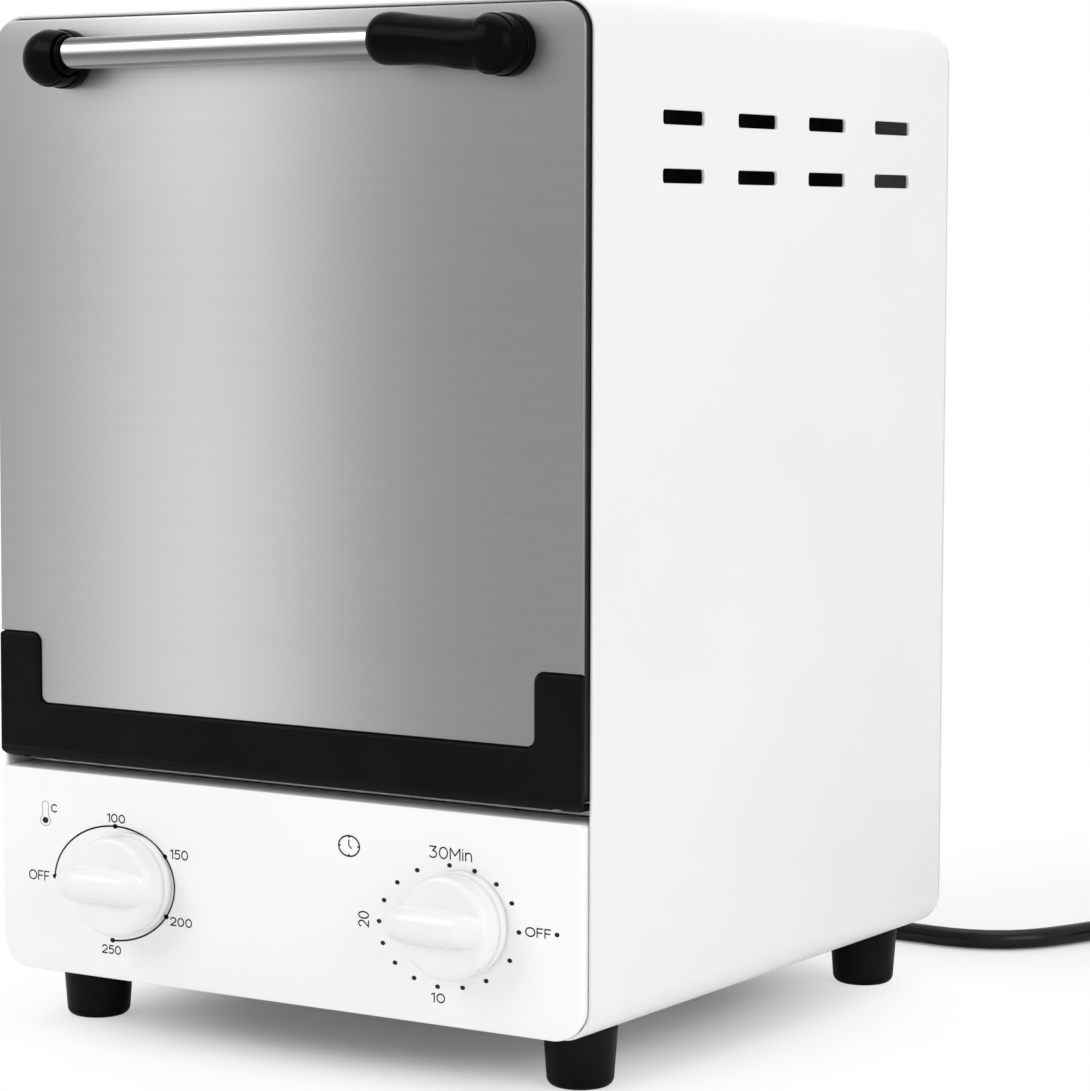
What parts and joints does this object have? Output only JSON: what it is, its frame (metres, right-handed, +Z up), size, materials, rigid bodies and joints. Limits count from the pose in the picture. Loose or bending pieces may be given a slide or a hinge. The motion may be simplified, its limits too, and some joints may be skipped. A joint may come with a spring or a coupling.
{
  "type": "dry-heat steriliser oven",
  "caption": "Small bench steriliser: white sheet-metal case on four feet, drop-down steel door with bar handle, control knobs, heated chamber with tray, mains lead.",
  "frame": {"origin": "on the surface the feet stand on, under the middle of the product's width and of its depth from the handle to the back screws", "axes": "+Z up, -Y out of the door's face towards the user, +X to the right as the user faces the door"},
  "size_m": [0.345, 0.4841, 0.3185],
  "materials": {
    "white_paint": "smooth white powder coat",
    "panel_paint": "smooth white enamel",
    "black_paint": "satin black paint",
    "brushed_steel": "horizontal brushed stainless",
    "bright_steel": "plain bright steel",
    "zinc_steel": "zinc plate",
    "chrome": "polished chrome plate",
    "trim_plastic": "semi-gloss black moulding",
    "handle_plastic": "satin black phenolic",
    "knob_plastic": "glossy white plastic",
    "dark_plastic": "matte dark plastic",
    "cord_plastic": "smooth black sheath",
    "rubber": "matte black rubber",
    "seal_rubber": "red-brown silicone rubber",
    "glass_wool": "pale yellow fibre blanket",
    "heater_sheath": "dull heat-darkened metal",
    "ceramic": "cream ceramic",
    "copper": "bare copper"
  },
  "bodies": {
    "case": {"back_panel": "white_paint", "back_screw_1": "zinc_steel", "back_screw_2": "zinc_steel", "back_screw_3": "zinc_steel", "back_screw_4": "zinc_steel", "back_screw_5": "zinc_steel", "back_screw_6": "zinc_steel", "base_plate": "zinc_steel", "capillary_tube": "copper", "casing_wrap": "white_paint", "chamber_liner": "bright_steel", "control_panel": "panel_paint", "cord_coil": "cord_plastic", "cord_gland": "cord_plastic", "door_seal": "seal_rubber", "foot_front_left": "rubber", "foot_front_right": "rubber", "foot_rear_left": "rubber", "foot_rear_right": "rubber", "foot_screw_front_left": "zinc_steel", "foot_screw_front_right": "zinc_steel", "foot_screw_rear_left": "zinc_steel", "foot_screw_rear_right": "zinc_steel", "front_frame": "zinc_steel", "heater_bush_lower_left": "ceramic", "heater_bush_lower_right": "ceramic", "heater_bush_upper_left": "ceramic", "heater_bush_upper_right": "ceramic", "heater_lower": "heater_sheath", "heater_upper": "heater_sheath", "hinge_bracket_left": "zinc_steel", "hinge_bracket_right": "zinc_steel", "hinge_pin_left": "bright_steel", "hinge_pin_right": "bright_steel", "insulation_blanket": "glass_wool", "lead_controls": "dark_plastic", "lead_heaters": "dark_plastic", "lead_supply": "dark_plastic", "mains_cord": "cord_plastic", "mains_plug": "cord_plastic", "sensor_bulb": "copper", "terminal_block": "ceramic", "thermostat_body": "dark_plastic", "timer_bell": "bright_steel", "timer_body": "dark_plastic"},
    "door": {"door_skin": "brushed_steel", "door_pan": "black_paint", "door_inner_panel": "bright_steel", "door_trim": "trim_plastic", "handle_bar": "chrome", "handle_grip": "handle_plastic", "handle_post_left": "handle_plastic", "handle_post_right": "handle_plastic", "stay_arm_left": "zinc_steel", "stay_arm_right": "zinc_steel"},
    "tray": {"tray": "bright_steel"},
    "temperature_control": {"temperature_knob": "knob_plastic", "thermostat_shaft": "bright_steel"},
    "timer_control": {"timer_knob": "knob_plastic", "timer_shaft": "bright_steel"}
  },
  "joints": [
    {"name": "door_hinge", "type": "hinge", "parent": "case", "child": "door", "pos_m": [0, -0.10138, 0.0918], "axis": [1, 0, 0], "range_deg": [0, 90], "stiffness_Nm_per_rad": 0.2, "springref_deg": -57.3},
    {"name": "tray_slide", "type": "slide", "parent": "case", "child": "tray", "axis": [0, -1, 0], "range_m": [0, 0.008]},
    {"name": "temperature_turn", "type": "hinge", "parent": "case", "child": "temperature_control", "pos_m": [-0.056, -0.10687, 0.0501], "axis": [0, 1, 0], "range_deg": [0, 270]},
    {"name": "timer_turn", "type": "hinge", "parent": "case", "child": "timer_control", "pos_m": [0.0675, -0.10687, 0.0501], "axis": [0, 1, 0], "range_deg": [-180, 90]}
  ]
}
